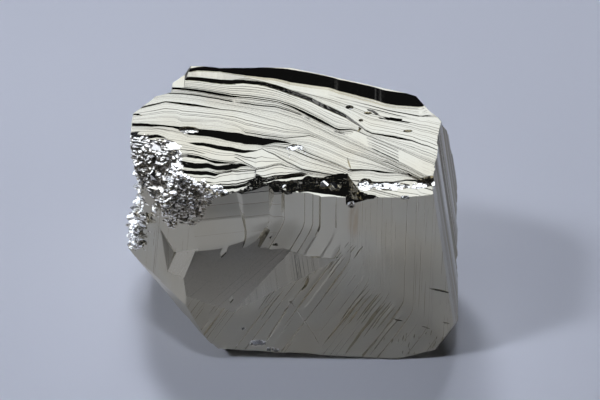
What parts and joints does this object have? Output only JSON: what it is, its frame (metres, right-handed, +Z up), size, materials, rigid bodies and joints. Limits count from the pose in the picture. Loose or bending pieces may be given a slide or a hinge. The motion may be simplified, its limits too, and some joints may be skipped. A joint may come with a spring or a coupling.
{
  "type": "pyrite specimen",
  "caption": "Blocky pyrite crystal with a bright terraced top, a striated front, a rough broken corner and a flat base it rests on.",
  "frame": {"origin": "middle of the underside of the crystal's box, on the surface it rests on", "axes": "+X to the crystal's right as the picture faces it, along its longest side; +Y to its back; +Z up"},
  "size_m": [0.0564, 0.0402, 0.0366],
  "materials": {
    "pyrite": "mirror-bright pale metallic mineral, finely striated"
  },
  "bodies": {
    "root": {"pyrite_crystal": "pyrite"}
  },
  "joints": []
}
